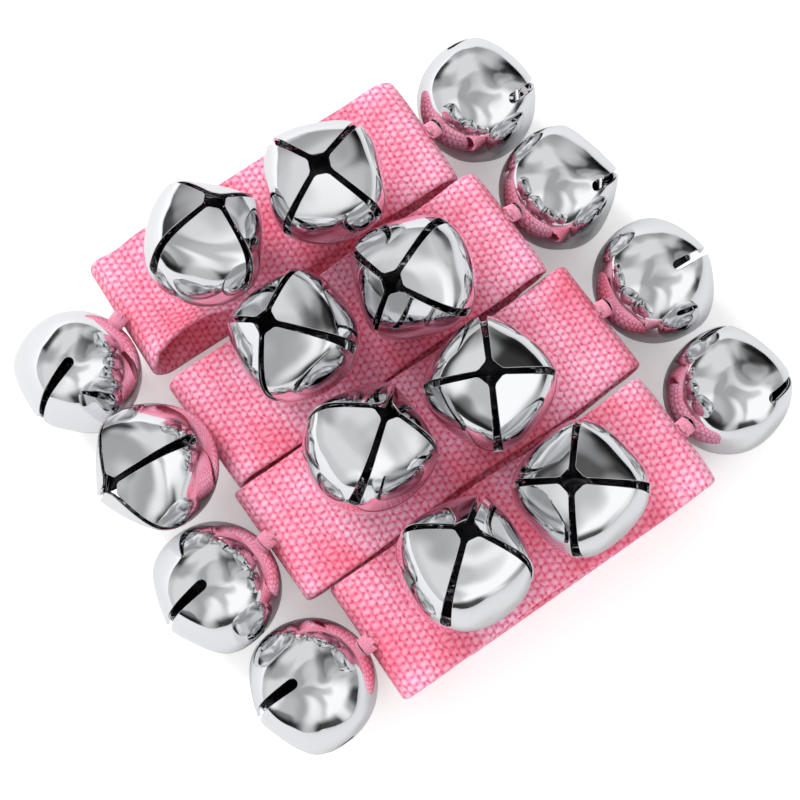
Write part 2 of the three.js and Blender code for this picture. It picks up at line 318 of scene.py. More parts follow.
def new_tree(name, inputs):
    """A Geometry Nodes tree with a geometry in and out and the inputs given."""
    tree = bpy.data.node_groups.new(name, "GeometryNodeTree")
    tree.interface.new_socket("Geometry", in_out="INPUT", socket_type="NodeSocketGeometry")
    for label, kind, default in inputs:
        socket = tree.interface.new_socket(label, in_out="INPUT", socket_type=kind)
        if default is not None:
            socket.default_value = default
    tree.interface.new_socket("Geometry", in_out="OUTPUT", socket_type="NodeSocketGeometry")
    return tree, add_node(tree, "NodeGroupInput"), add_node(tree, "NodeGroupOutput")


def finish_tree(tree, start, end, made):
    """Ends a tree: what it made turns into plain geometry with the tree's own material."""
    plain = add_node(tree, "GeometryNodeRealizeInstances", None, {0: made})
    finish = add_node(tree, "GeometryNodeSetMaterial", None, {
        "Geometry": plain.outputs[0], "Material": start.outputs["Material"]})
    tree.links.new(finish.outputs[0], end.inputs[0])
    return tree


def polyline(points):
    """A mesh of one open line of edges, for a tree to follow."""
    mesh = bpy.data.meshes.new("line")
    mesh.from_pydata(points, [(i, i + 1) for i in range(len(points) - 1)], [])
    return mesh


def polylines(lines):
    """A mesh of several open lines of edges."""
    points, edges = [], []
    for line in lines:
        edges += [(len(points) + i, len(points) + i + 1) for i in range(len(line) - 1)]
        points += line
    mesh = bpy.data.meshes.new("lines")
    mesh.from_pydata(points, edges, [])
    return mesh


def smooth_line(points, spacing, sigma):
    """Evenly spaced points on a line whose corners are rounded over about sigma."""
    lengths = [0.0]
    for before, after in zip(points, points[1:]):
        lengths.append(lengths[-1] + (after - before).length)

    def at(distance):
        distance = min(max(distance, 0.0), lengths[-1])
        i = max(j for j in range(len(lengths) - 1) if lengths[j] <= distance)
        span = lengths[i + 1] - lengths[i]
        return points[i].lerp(points[i + 1], (distance - lengths[i]) / span if span else 0.0)

    count = max(int(lengths[-1] / spacing), 2)
    steps = [lengths[-1] * i / count for i in range(count + 1)]
    offsets = [sigma * k / 4 for k in range(-8, 9)]
    weights = [math.exp(-(offset / sigma) ** 2 / 2) for offset in offsets]
    line = []
    for step in steps:
        room = min(step, lengths[-1] - step) / (2 * sigma)
        pull = min(room, 1.0)
        mean = Vector((0.0, 0.0))
        for offset, weight in zip(offsets, weights):
            mean += at(step + offset * pull) * weight
        line.append(mean / sum(weights))
    return line, steps


# Where the bands and the bells are

def placed(origin, x, y, z):
    """A frame from its origin and its three axes."""
    return Matrix.Translation(origin) @ Matrix((x, y, z)).transposed().to_4x4()


def band_matrix(number):
    """A band's own frame, from the hinge at its flap's root: X along the band and Z up."""
    joint = JOINTS[f"flap_{number}_peel"]
    across = -Vector(joint["axis"])
    along = Vector((across.y, -across.x, 0))
    origin = Vector(joint["pos_m"]) - along * (flap_right() + SEAM_GAP)
    return placed(origin, along, across, Vector((0, 0, 1)))


def flap_right():
    """The flap's root end, from the band's middle."""
    return bpy.context.scene.bell_webbing.closure / 2 + CLOSURE_OFFSET


def bell_matrix(name):
    """A bell's frame: Z is its axis, from the shank to the mouth, and the shank lies along X."""
    swivel = JOINTS.get(f"bell_{name}_swivel")
    joint = swivel or JOINTS[f"bell_{name}_rock"]
    if swivel:
        axis = Vector(joint["axis"]).normalized()
    else:
        lean, towards = (math.radians(angle) for angle in LEANS[name])
        axis = Vector((
            math.sin(lean) * math.cos(towards), math.sin(lean) * math.sin(towards),
            math.cos(lean)))
    level = Vector((-axis.y, axis.x, 0)).normalized()
    centre = Vector(joint["pos_m"]) + axis * bpy.context.scene.bell_shells.reach
    return placed(centre, level, axis.cross(level), axis)


def bell_names():
    """The bells' short names: a bracelet's number and a letter from left to right."""
    return [f"{number}{letter}" for number in BANDS for letter in "abcd"]


def heights():
    """Middle heights of the flap, the hook tape, the loop tape and the band's inner end."""
    web = bpy.context.scene.bell_webbing.thickness
    hooks, loops = HOOK_TAPE[2], LOOP_TAPE[2]
    return {
        "flap": web / 2,
        "hooks": web + LAYER_GAP + hooks / 2,
        "loops": web + 2 * LAYER_GAP + hooks + loops / 2,
        "inner": web + 2 * LAYER_GAP + hooks + loops + web / 2,
    }


def fold_arc(centre, side, start, end, radius):
    """Points round a fold, from a start to an end angle in degrees, on the left (-1) or right."""
    points, steps = [], 24
    for step in range(steps + 1):
        angle = math.radians(start + (end - start) * step / steps)
        points.append(Vector((
            centre.x + side * radius * math.cos(angle), centre.y + radius * math.sin(angle))))
    return points


def curve_through(points, steps):
    """Points on a smooth curve through the points given."""
    line = []
    padded = [2 * points[0] - points[1], *points, 2 * points[-1] - points[-2]]
    for p0, p1, p2, p3 in zip(padded, padded[1:], padded[2:], padded[3:]):
        for step in range(steps):
            t = step / steps
            line.append(0.5 * (
                2 * p1 + (p2 - p0) * t + (2 * p0 - 5 * p1 + 4 * p2 - p3) * t * t
                + (3 * p1 - p0 - 3 * p2 + p3) * t ** 3))
    return [*line, points[-1]]


def band_line(number):
    """The webbing's middle line in the band's XZ plane, from its inner end round the loop to the
    flap's free end, as in the CAD source."""
    web = bpy.context.scene.bell_webbing
    band, level = BANDS[number], heights()
    radius = web.fold_radius - web.thickness / 2
    left, right = (
        Vector((
            share * web.loop_length / 2 + (-1 if i else 1) * web.fold_radius,
            band["heights"][i] * web.top_height))
        for i, share in enumerate(band["folds"]))
    left_fold = fold_arc(left, -1, -100, 90, radius)
    right_fold = fold_arc(right, 1, 90, -110, radius)
    root = flap_right()
    tip = root - web.closure
    top = web.top_height - web.thickness / 2
    inner_left = Vector((tip, level["inner"]))
    rise = Vector((root + RAMP_RUN / 2, level["flap"] + web.thickness))
    return [
        Vector((tip + INNER_OVERLAP, level["inner"])),
        *curve_through([inner_left, inner_left.lerp(left_fold[0], 0.5), left_fold[0]], 6),
        *left_fold[1:],
        *curve_through([
            left_fold[-1], Vector((left.x * 0.5, top)), Vector((right.x * 0.6, top)),
            right_fold[0]], 10)[1:],
        *right_fold[1:],
        right_fold[-1].lerp(rise, 0.5),
        rise,
        Vector((root + SEAM_GAP, level["flap"])),
        Vector((root - 3 * MM, level["flap"])),
        Vector((tip, level["flap"])),
    ]


# Materials

def webbing_material():
    """Woven nylon webbing: soft, matt, with a broken basket of yarn crowns between pits; the
    crowns carry a painted highlight and the pits painted shade.
    """
    material, tree = new_material("woven nylon webbing")
    if tree is None:
        return material
    web = bpy.context.scene.bell_webbing
    uv = add_node(tree, "ShaderNodeUVMap", {"uv_map": "weave"})
    # Uneven tension: the yarns wander, by up to 0.75 mm along the band and 0.4 mm across it
    wander = add_node(tree, "ShaderNodeTexNoise", None, {
        "Vector": uv.outputs["UV"], "Scale": 0.4, "Detail": 2.0})
    shift = add_node(tree, "ShaderNodeVectorMath", {"operation": "MULTIPLY_ADD"}, {
        0: wander.outputs["Color"], 1: (1.5, 0.8, 0), 2: uv.outputs["UV"]})
    place = add_node(tree, "ShaderNodeSeparateXYZ", None, {0: shift.outputs[0]})
    along = add_node(tree, "ShaderNodeMath", {"operation": "MULTIPLY"}, {
        0: place.outputs["X"], 1: 2 * math.pi * MM / web.pick})
    across = add_node(tree, "ShaderNodeMath", {"operation": "MULTIPLY"}, {
        0: place.outputs["Y"], 1: 2 * math.pi * MM / web.end})
    picks = add_node(tree, "ShaderNodeMath", {"operation": "COSINE"}, {0: along.outputs[0]})
    ends = add_node(tree, "ShaderNodeMath", {"operation": "COSINE"}, {0: across.outputs[0]})
    basket = add_node(tree, "ShaderNodeMath", {"operation": "MULTIPLY"}, {
        0: picks.outputs[0], 1: ends.outputs[0]})
    # Finer ribs across the band, at half and at a third of the weave's repeat
    for times, share in ((2, 0.38), (3, 0.34)):
        finer = add_node(tree, "ShaderNodeMath", {"operation": "MULTIPLY"}, {
            0: along.outputs[0], 1: float(times)})
        rib = add_node(tree, "ShaderNodeMath", {"operation": "COSINE"}, {0: finer.outputs[0]})
        basket = add_node(tree, "ShaderNodeMath", {"operation": "MULTIPLY_ADD"}, {
            0: rib.outputs[0], 1: share, 2: basket.outputs[0]})
    fibres = add_node(tree, "ShaderNodeTexNoise", None, {
        "Vector": uv.outputs["UV"], "Scale": 2.6, "Detail": 4.0, "Roughness": 0.65})
    relief = add_node(tree, "ShaderNodeMath", {"operation": "MULTIPLY_ADD"}, {
        0: fibres.outputs["Fac"], 1: 3.0, 2: basket.outputs[0]})
    level = add_node(tree, "ShaderNodeMapRange", None, {
        "Value": relief.outputs[0], "From Min": 0.1, "From Max": 2.4})
    # Painted light: the weave's relief picks the colour, from painted shade in the pits through
    # the dyed yarn to a painted highlight on the crowns
    ramp = add_node(tree, "ShaderNodeValToRGB", None, {0: level.outputs[0]})
    stops(ramp.color_ramp, [
        (0.02, web.pit_shade), (0.4, web.body), (0.85, web.crown_highlight)])
    # Painted shade: slow patches of deeper coral stand in for the light and shade of the band's
    # undulations
    shade_patches = add_node(tree, "ShaderNodeTexNoise", None, {
        "Vector": uv.outputs["UV"], "Scale": 0.06, "Detail": 2.0})
    shade_amount = add_node(tree, "ShaderNodeMapRange", None, {
        "Value": shade_patches.outputs["Fac"], "From Min": 0.4, "From Max": 0.64,
        "To Min": 0.0, "To Max": 0.8})
    colour = add_node(tree, "ShaderNodeMix", {"data_type": "RGBA", "blend_type": "MULTIPLY"}, {
        0: shade_amount.outputs[0], 6: ramp.outputs["Color"], 7: (*web.shade_tint, 1)})
    bump = add_node(tree, "ShaderNodeBump", None, {
        "Strength": 0.9, "Distance": 0.2 * MM, "Height": level.outputs[0]})
    shader = add_node(tree, "ShaderNodeBsdfPrincipled", None, {
        "Base Color": colour.outputs[2], "Roughness": 0.68, "IOR": 1.53,
        "Specular IOR Level": 0.45, "Sheen Weight": 0.25, "Sheen Roughness": 0.4,
        "Sheen Tint": (*linear("FFD3E2"), 1), "Subsurface Weight": 0.12,
        "Subsurface Radius": (1.2 * MM, 0.4 * MM, 0.5 * MM), "Subsurface Scale": 1.0,
        "Normal": bump.outputs[0]})
    add_node(tree, "ShaderNodeOutputMaterial", None, {0: shader.outputs[0]})
    return material


def chrome_material():
    """Bright chrome on pressed steel: a mirror with the slow ripples that pressing leaves."""
    material, tree = new_material("chromed pressed steel")
    if tree is None:
        return material
    place = add_node(tree, "ShaderNodeTexCoord")
    # Ripples of the pressing, about 11 mm apart
    ripple = add_node(tree, "ShaderNodeTexNoise", None, {
        "Vector": place.outputs["Object"], "Scale": 90.0, "Detail": 1.0, "Roughness": 0.4})
    bump = add_node(tree, "ShaderNodeBump", None, {
        "Strength": 1.0, "Distance": 0.8 * MM, "Height": ripple.outputs["Fac"]})
    # Handling marks, a millimetre wide and finer
    marks = add_node(tree, "ShaderNodeTexNoise", None, {
        "Vector": place.outputs["Object"], "Scale": 900.0, "Detail": 5.0})
    gloss = add_node(tree, "ShaderNodeMapRange", None, {
        "Value": marks.outputs["Fac"], "From Min": 0.45, "From Max": 0.8,
        "To Min": 0.035, "To Max": 0.12})
    shader = add_node(tree, "ShaderNodeBsdfPrincipled", None, {
        "Base Color": (*linear("E4E5E7"), 1), "Metallic": 1.0,
        "Roughness": gloss.outputs[0], "Normal": bump.outputs[0]})
    add_node(tree, "ShaderNodeOutputMaterial", None, {0: shader.outputs[0]})
    return material


def shaded_inside_material():
    """Steel inside the shell, dull and painted nearly black for the shade that fills it, its tone
    mottled at random.
    """
    material, tree = new_material("shell inside, painted shade")
    if tree is None:
        return material
    place = add_node(tree, "ShaderNodeTexCoord")
    mottle = add_node(tree, "ShaderNodeTexNoise", None, {
        "Vector": place.outputs["Object"], "Scale": 400.0, "Detail": 4.0})
    ramp = add_node(tree, "ShaderNodeValToRGB", None, {0: mottle.outputs["Fac"]})
    stops(ramp.color_ramp, [(0.3, linear("121213")), (0.7, linear("252527"))])
    shader = add_node(tree, "ShaderNodeBsdfPrincipled", None, {
        "Base Color": ramp.outputs["Color"], "Metallic": 1.0, "Roughness": 0.55})
    add_node(tree, "ShaderNodeOutputMaterial", None, {0: shader.outputs[0]})
    return material


def plain_metal(name, dark, light, roughness, grain):
    """Drawn or tumbled steel: a fine grain varies its colour and its gloss."""
    material, tree = new_material(name)
    if tree is None:
        return material
    place = add_node(tree, "ShaderNodeTexCoord")
    noise = add_node(tree, "ShaderNodeTexNoise", None, {
        "Vector": place.outputs["Object"], "Scale": 1 / grain, "Detail": 4.0})
    ramp = add_node(tree, "ShaderNodeValToRGB", None, {0: noise.outputs["Fac"]})
    stops(ramp.color_ramp, [(0.3, linear(dark)), (0.7, linear(light))])
    gloss = add_node(tree, "ShaderNodeMapRange", None, {
        "Value": noise.outputs["Fac"], "To Min": roughness * 0.8, "To Max": roughness * 1.3})
    bump = add_node(tree, "ShaderNodeBump", None, {
        "Strength": 0.3, "Distance": 0.05 * MM, "Height": noise.outputs["Fac"]})
    shader = add_node(tree, "ShaderNodeBsdfPrincipled", None, {
        "Base Color": ramp.outputs["Color"], "Metallic": 1.0,
        "Roughness": gloss.outputs[0], "Normal": bump.outputs[0]})
    add_node(tree, "ShaderNodeOutputMaterial", None, {0: shader.outputs[0]})
    return material


def dyed_nylon(name, dark, light, fuzz, roughness):
    """Dyed nylon monofilament or thread: a fine fuzz of strands breaks up its colour."""
    material, tree = new_material(name)
    if tree is None:
        return material
    place = add_node(tree, "ShaderNodeTexCoord")
    strands = add_node(tree, "ShaderNodeTexNoise", None, {
        "Vector": place.outputs["Object"], "Scale": 1 / fuzz, "Detail": 5.0, "Roughness": 0.7})
    ramp = add_node(tree, "ShaderNodeValToRGB", None, {0: strands.outputs["Fac"]})
    stops(ramp.color_ramp, [(0.3, linear(dark)), (0.68, linear(light))])
    bump = add_node(tree, "ShaderNodeBump", None, {
        "Strength": 0.6, "Distance": fuzz / 2, "Height": strands.outputs["Fac"]})
    shader = add_node(tree, "ShaderNodeBsdfPrincipled", None, {
        "Base Color": ramp.outputs["Color"], "Roughness": roughness, "IOR": 1.53,
        "Sheen Weight": 0.3, "Normal": bump.outputs[0]})
    add_node(tree, "ShaderNodeOutputMaterial", None, {0: shader.outputs[0]})
    return material


# Geometry Nodes trees

def tube_tree():
    """A round wire or thread along each line."""
    tree, start, end = new_tree("round wire", [
        ("Radius", "NodeSocketFloat", 0.5 * MM), ("Sides", "NodeSocketInt", 12),
        ("Material", "NodeSocketMaterial", None)])
    curve = add_node(tree, "GeometryNodeMeshToCurve", None, {0: start.outputs["Geometry"]})
    ring = add_node(tree, "GeometryNodeCurvePrimitiveCircle", None, {
        "Resolution": start.outputs["Sides"], "Radius": start.outputs["Radius"]})
    tube = add_node(tree, "GeometryNodeCurveToMesh", None, {
        "Curve": curve.outputs[0], "Profile Curve": ring.outputs[0], "Fill Caps": True})
    return finish_tree(tree, start, end, tube.outputs[0])


def stitch_tree():
    """Short thread stitches lying end to end along each line."""
    tree, start, end = new_tree("sewn line", [
        ("Pitch", "NodeSocketFloat", 2.4 * MM), ("Length", "NodeSocketFloat", 2 * MM),
        ("Thread", "NodeSocketFloat", 0.38 * MM), ("Material", "NodeSocketMaterial", None)])
    curve = add_node(tree, "GeometryNodeMeshToCurve", None, {0: start.outputs["Geometry"]})
    spaced = add_node(tree, "GeometryNodeResampleCurve", {"mode": "LENGTH"}, {
        "Curve": curve.outputs[0], "Length": start.outputs["Pitch"]})
    tangent = add_node(tree, "GeometryNodeInputTangent")
    turn = add_node(tree, "FunctionNodeAlignRotationToVector", {"axis": "X"}, {
        "Vector": tangent.outputs[0]})
    pill = add_node(tree, "GeometryNodeMeshUVSphere", None, {
        "Segments": 8, "Rings": 6, "Radius": 0.5})
    size = add_node(tree, "ShaderNodeCombineXYZ", None, {
        "X": start.outputs["Length"], "Y": start.outputs["Thread"],
        "Z": start.outputs["Thread"]})
    copies = add_node(tree, "GeometryNodeInstanceOnPoints", None, {
        "Points": spaced.outputs[0], "Instance": pill.outputs[0],
        "Rotation": turn.outputs[0], "Scale": size.outputs[0]})
    return finish_tree(tree, start, end, copies.outputs[0])


def hook_tree():
    """Bent nylon hooks standing in rows on each point of a grid, their turns a little uneven."""
    tree, start, end = new_tree("hook rows", [
        ("Height", "NodeSocketFloat", 0.35 * MM), ("Strand", "NodeSocketFloat", 0.09 * MM),
        ("Seed", "NodeSocketInt", 7), ("Material", "NodeSocketMaterial", None)])
    arc = add_node(tree, "GeometryNodeCurveArc", None, {
        "Resolution": 6, "Radius": start.outputs["Height"], "Start Angle": 0.0,
        "Sweep Angle": math.radians(200)})
    ring = add_node(tree, "GeometryNodeCurvePrimitiveCircle", None, {
        "Resolution": 4, "Radius": start.outputs["Strand"]})
    hook = add_node(tree, "GeometryNodeCurveToMesh", None, {
        "Curve": arc.outputs[0], "Profile Curve": ring.outputs[0], "Fill Caps": True})
    upright = add_node(tree, "GeometryNodeTransform", None, {
        "Geometry": hook.outputs[0], "Rotation": (math.pi / 2, 0, 0)})
    uneven = add_node(tree, "FunctionNodeRandomValue", {"data_type": "FLOAT_VECTOR"}, {
        0: (-0.1, -0.1, -0.5), 1: (0.1, 0.1, 0.5), "Seed": start.outputs["Seed"]})
    copies = add_node(tree, "GeometryNodeInstanceOnPoints", None, {
        "Points": start.outputs["Geometry"], "Instance": upright.outputs[0],
        "Rotation": uneven.outputs[0]})
    return finish_tree(tree, start, end, copies.outputs[0])


# Pieces

def skewed(point, number):
    """The CAD source's skew: a loop's layers slide across each other towards its left fold."""
    web = bpy.context.scene.bell_webbing
    left = max(-point.x / (web.loop_length / 2), 0)
    below = 1 - point.z / web.top_height
    point.y -= BANDS[number]["skew"] * MM * left * left * below
    return point


def webbing_mesh(name, line, steps, number, first, last):
    """Webbing along the line from its first to its last point: a flat section with rounded
    selvedges, a slow wave on the loop's top and heat-cut ends."""
    web = bpy.context.scene.bell_webbing
    half, thick = web.width / 2, web.thickness / 2
    flat = half - thick
    across = 26
    section = []
    for side in (1, -1):
        section += [
            (side * (flat - 2 * flat * i / across), side * thick) for i in range(across + 1)]
        section += [
            (-side * (flat + thick * math.sin(math.pi * k / 5)),
             side * thick * math.cos(math.pi * k / 5)) for k in range(1, 5)]
    top = web.top_height - 2.4 * web.thickness
    points, marks = [], []
    for i in range(first, last + 1):
        before, after = line[max(i - 1, 0)], line[min(i + 1, len(line) - 1)]
        tangent = (after - before).normalized()
        normal = Vector((-tangent.y, tangent.x))
        free = min(max((line[i].y - top) / web.thickness, 0), 1)
        for y, out in section:
            wave = free * 0.16 * MM * (
                math.sin(steps[i] / (4.3 * MM) + number) * math.cos(y / (5.5 * MM) + 2 * number)
                + 0.7 * math.sin(steps[i] / (9.1 * MM) - y / (7 * MM)))
            droop = free * 0.35 * MM * (abs(y) / half) ** 6
            sway = free * 0.45 * MM * math.sin(steps[i] / (8.5 * MM) + 0.9 * number)
            place = line[i] + normal * (out + wave - droop)
            # A fold that stands open: the front selvedge is drawn back and up beside it, and
            # the webbing sags behind it
            share = place.x / (web.loop_length / 2)
            drawn = free * BANDS[number]["curl"] * MM
            curl = drawn * max(-y / half, 0) ** 2 * math.exp(-((share + 0.62) / 0.2) ** 2)
            sag = 0.7 * drawn * math.exp(-((share + 0.7 + 0.07 * y / half) / 0.11) ** 2)
            points.append(skewed(
                Vector((place.x, y + sway + curl, place.y + 0.6 * curl - sag)), number))
            marks.append((steps[i] / MM, y / MM))
    around = len(section)
    faces, uvs = [], []
    for i in range(last - first):
        for k in range(around):
            corners = [
                i * around + k, i * around + (k + 1) % around,
                (i + 1) * around + (k + 1) % around, (i + 1) * around + k]
            faces.append(corners)
            uvs += [marks[corner] for corner in corners]
    start_cap = list(range(around))[::-1]
    end_cap = [(last - first) * around + k for k in range(around)]
    for cap in (start_cap, end_cap):
        faces.append(cap)
        uvs += [marks[corner] for corner in cap]
    return mesh_from(name, points, faces, uvs)


def slab_mesh(name, length, width, thick, centre):
    """A tape: a thin slab with rounded edges, on a grid of points."""
    columns, rows = 24, 20
    points, faces = [], []
    for side in (1, -1):
        for i in range(columns + 1):
            for j in range(rows + 1):
                u, v = 2 * i / columns - 1, 2 * j / rows - 1
                edge = max(abs(u) ** 12, abs(v) ** 12)
                points.append(centre + Vector((
                    u * length / 2, v * width / 2, side * thick / 2 * (1 - 0.75 * edge))))
    layer = (columns + 1) * (rows + 1)
    for i in range(columns):
        for j in range(rows):
            a = i * (rows + 1) + j
            b = a + rows + 1
            faces.append([a, b, b + 1, a + 1])
            faces.append([layer + a, layer + a + 1, layer + b + 1, layer + b])
    rim = [i * (rows + 1) for i in range(columns + 1)]
    rim += [columns * (rows + 1) + j for j in range(1, rows + 1)]
    rim += [i * (rows + 1) + rows for i in range(columns - 1, -1, -1)]
    rim += [j for j in range(rows - 1, 0, -1)]
    for a, b in zip(rim, rim[1:] + rim[:1]):
        faces.append([a, layer + a, layer + b, b])
    return mesh_from(name, points, faces)


def shell_profile(flatness):
    """Height, distance from the axis at a slit, and a petal's nearness, from back to mouth."""
    bell = bpy.context.scene.bell_shells
    radius = bell.diameter / 2
    start = math.acos(1.7 * MM / radius)
    back, steps = [], 480
    for step in range(steps + 1):
        angle = start * (step / steps - 1)
        back.append(Vector((
            bell.back * math.sin(angle), radius * math.cos(angle),
            1 - 0.1 * flatness * math.cos(angle) ** 8)))
    front = curve_through([
        Vector((height * bell.front, spread * radius, 1 - (1 - near) * flatness))
        for height, spread, near in FRONT_SHARES], 80)
    return back[:-1] + front


def shell_mesh(flatness):
    """One bell shell on its own axis, with a wall, rounded cut edges and an inside and slit walls
    painted dark for their shade. Its petals are as flat as FRONT_SHARES says at 1, and nearly
    round at 0."""
    bell = bpy.context.scene.bell_shells
    profile = shell_profile(flatness)
    count, end_height = bell.columns, -0.8 * MM
    narrow, wide = bell.slit / 2, bell.slit_end

    def at_height(height):
        final = len(profile) - 1
        after = next(i for i, place in enumerate(profile) if place.x > height or i == final)
        low, high = profile[after - 1], profile[after]
        return low.lerp(high, (height - low.x) / (high.x - low.x))

    def on_level(place, turn):
        """Where the steel is on one level. Its outline is a square with its corners at the slits,
        well rounded on the dome and with straight sides on the petals."""
        power = 1 / (0.5 - math.log2(place.z))
        straight = 1 / (
            abs(math.cos(turn)) ** power + abs(math.sin(turn)) ** power) ** (1 / power)
        soft = 1 - (1 - place.z) * (1 - math.cos(4 * turn)) / 2
        front = min(max(place.x / (0.45 * bell.front), 0), 1)
        spread = place.y * (soft + (straight - soft) * front * front * (3 - 2 * front))
        # Pressing leaves a shallow valley behind each slit's end
        corner = (turn + math.pi / 4) % (math.pi / 2) - math.pi / 4
        spread -= 0.2 * MM * math.exp(
            -((place.x + 4 * MM) / (2.2 * MM)) ** 2 - (corner * place.y / (1.9 * MM)) ** 2)
        return Vector((spread * math.cos(turn), spread * math.sin(turn), place.x))

    def turn_at(step, gap, spread):
        """A column's turn within a petal that starts half a slit after a corner."""
        offset = math.asin(min(gap / spread, 0.6))
        t = step / count
        return offset + (math.pi / 2 - 2 * offset) * (0.5 * t + 0.25 * (1 - math.cos(math.pi * t)))

    def tip_height(step):
        """Where a column meets the petal's tip, which is cut straight with two chamfers."""
        low, high = 0.4 * bell.front, profile[-1].x
        for _ in range(30):
            middle = (low + high) / 2
            place = at_height(middle)
            turn = turn_at(step, narrow, place.y)
            side = abs(turn - math.pi / 4)
            spread = on_level(place, turn).xy.length
            edge = bell.mouth + 0.5 * max(spread * math.sin(side) - 0.45 * bell.mouth, 0)
            if spread * math.cos(side) > edge:
                low = middle
            else:
                high = middle
        return low

    # Rows are a height and half the slit's width there. The first ones are whole rings.
    bottom = end_height - wide
    rings = [profile[0].x + (bottom - profile[0].x) * math.sin(
        math.pi / 2 * i / bell.rows) ** 1.35 for i in range(bell.rows)]
    rows = [(height, 0.0) for height in rings] + [
        (end_height - wide * math.cos(math.pi * step / 14), wide * math.sin(math.pi * step / 14))
        for step in range(8)]
    tips = [tip_height(step) for step in range(count + 1)]
    points, faces, index = [], [], {}
    total = len(rows) + bell.rows
    for petal in range(4):
        for step in range(count + 1):
            for row in range(total):
                if row < len(rows):
                    height, gap = rows[row]
                else:
                    t = (row - len(rows) + 1) / bell.rows
                    height = end_height + (tips[step] - end_height) * t
                    gap = wide + (narrow - wide) * min(height / (0.8 * bell.front), 1)
                ring = (petal * count + step) % (4 * count)
                key = (petal, step, row) if gap else (ring, row)
                if key not in index:
                    index[key] = len(points)
                    place = at_height(height)
                    points.append(on_level(
                        place, petal * math.pi / 2 + turn_at(step, gap, place.y)))
                index[(petal, step, row)] = index[key]
    for petal in range(4):
        for step in range(count):
            for row in range(total - 1):
                faces.append([
                    index[(petal, step, row)], index[(petal, step + 1, row)],
                    index[(petal, step + 1, row + 1)], index[(petal, step, row + 1)]])
    outside = mesh_from("shell", points, faces)
    outside.materials.append(chrome_material())
    outside.materials.append(shaded_inside_material())

    def thicken(obj):
        wall = obj.modifiers.new("wall", "SOLIDIFY")
        wall.thickness = bell.wall
        wall.offset = -1
        # The inner face and the walls of the slits take the inside's near-black painted shade
        wall.material_offset = 1
        wall.material_offset_rim = 1

    def round_edges(obj):
        edge = obj.modifiers.new("cut edges", "BEVEL")
        edge.width = 0.26 * MM
        edge.segments = 3
        edge.material = 0
        edge.limit_method = "WEIGHT"
        edge.harden_normals = True

    # Only the outer edges are rounded and bright, where the chrome meets the inside and slit walls
    # in painted shade
    walled = evaluated_mesh(outside, thicken)
    sides = {}
    for polygon in walled.polygons:
        for key in polygon.edge_keys:
            sides.setdefault(key, set()).add(polygon.material_index)
    weights = walled.attributes.new("bevel_weight_edge", "FLOAT", "EDGE")
    weights.data.foreach_set(
        "value", [float(len(sides[tuple(sorted(edge.vertices))]) - 1) for edge in walled.edges])
    return evaluated_mesh(walled, round_edges)


def shank_line():
    """A shank's middle line in its bell's XZ plane, foot to foot round the loop."""
    bell = bpy.context.scene.bell_shells
    radius = bell.wire / 2
    foot = -(bell.back - 1.25 * MM - radius)
    loop = -(bell.reach - 1 * MM)
    side = [
        Vector((-2.6 * MM, foot + radius)), Vector((-1.5 * MM, foot)),
        Vector((-1 * MM, foot - radius))]
    bend = [
        Vector((MM * math.cos(angle), loop + MM * math.sin(angle)))
        for angle in (math.pi * (1 + step / 8) for step in range(9))]
    line = [*side, *bend, *[Vector((-p.x, p.y)) for p in reversed(side)]]
    return [(p.x, 0.0, p.y) for p in curve_through(line, 4)]


def binding_line():
    """Thread wound round both legs of a shank, from just off the band up to the dome."""
    start = -bpy.context.scene.bell_shells.reach - 0.25 * MM
    wide, deep, pitch, steps = 1.6 * MM, 0.75 * MM, 0.36 * MM, 20
    line = []
    for step in range(111):
        angle = 2 * math.pi * step / steps
        line.append((
            wide * math.cos(angle), deep * math.sin(angle), start + pitch * step / steps))
    return line


def sewn_lanes(bell):
    """Four loops of thread side by side that hold a shank's far wire down to the band."""
    foot = -bpy.context.scene.bell_shells.reach - 0.95 * MM
    half, rise, steps = 1.15 * MM, 1.75 * MM, 12
    lanes = []
    for lane in (-0.45, -0.15, 0.15, 0.45):
        angles = [math.pi * step / steps for step in range(steps + 1)]
        lanes.append([
            tuple(bell @ Vector((
                lane * MM, half * math.cos(angle), foot + rise * math.sin(angle))))
            for angle in angles])
    return lanes


def seam_line(tape, height):
    """A seam round a tape, 1 mm inside its edges."""
    middle = flap_right() - bpy.context.scene.bell_webbing.closure / 2
    x, y = tape[0] / 2 - 1 * MM, tape[1] / 2 - 1 * MM
    corners = [(-x, -y), (x, -y), (x, y), (-x, y), (-x, -y)]
    return [(middle + a, b, height) for a, b in corners]


def pellet_mesh():
    """A tumbled steel ball with a slight parting ridge."""
    bell = bpy.context.scene.bell_shells
    segments, rings = 32, 20
    points = [(0, 0, -bell.pellet / 2)]
    for ring in range(1, rings):
        lift = math.pi * ring / rings - math.pi / 2
        r = bell.pellet / 2 * (1 - 0.012 * (1 - math.exp(-(lift / 0.12) ** 2)))
        for segment in range(segments):
            turn = 2 * math.pi * segment / segments
            points.append((
                r * math.cos(lift) * math.cos(turn), r * math.cos(lift) * math.sin(turn),
                r * math.sin(lift)))
    points.append((0, 0, bell.pellet / 2))
    faces = []
    last = len(points) - 1
    for segment in range(segments):
        after = (segment + 1) % segments
        faces.append([0, 1 + after, 1 + segment])
        for ring in range(rings - 2):
            low = 1 + ring * segments
            faces.append([
                low + segment, low + after, low + segments + after, low + segments + segment])
        faces.append([last - segments + segment, last - segments + after, last])
    return mesh_from("pellet", points, faces)


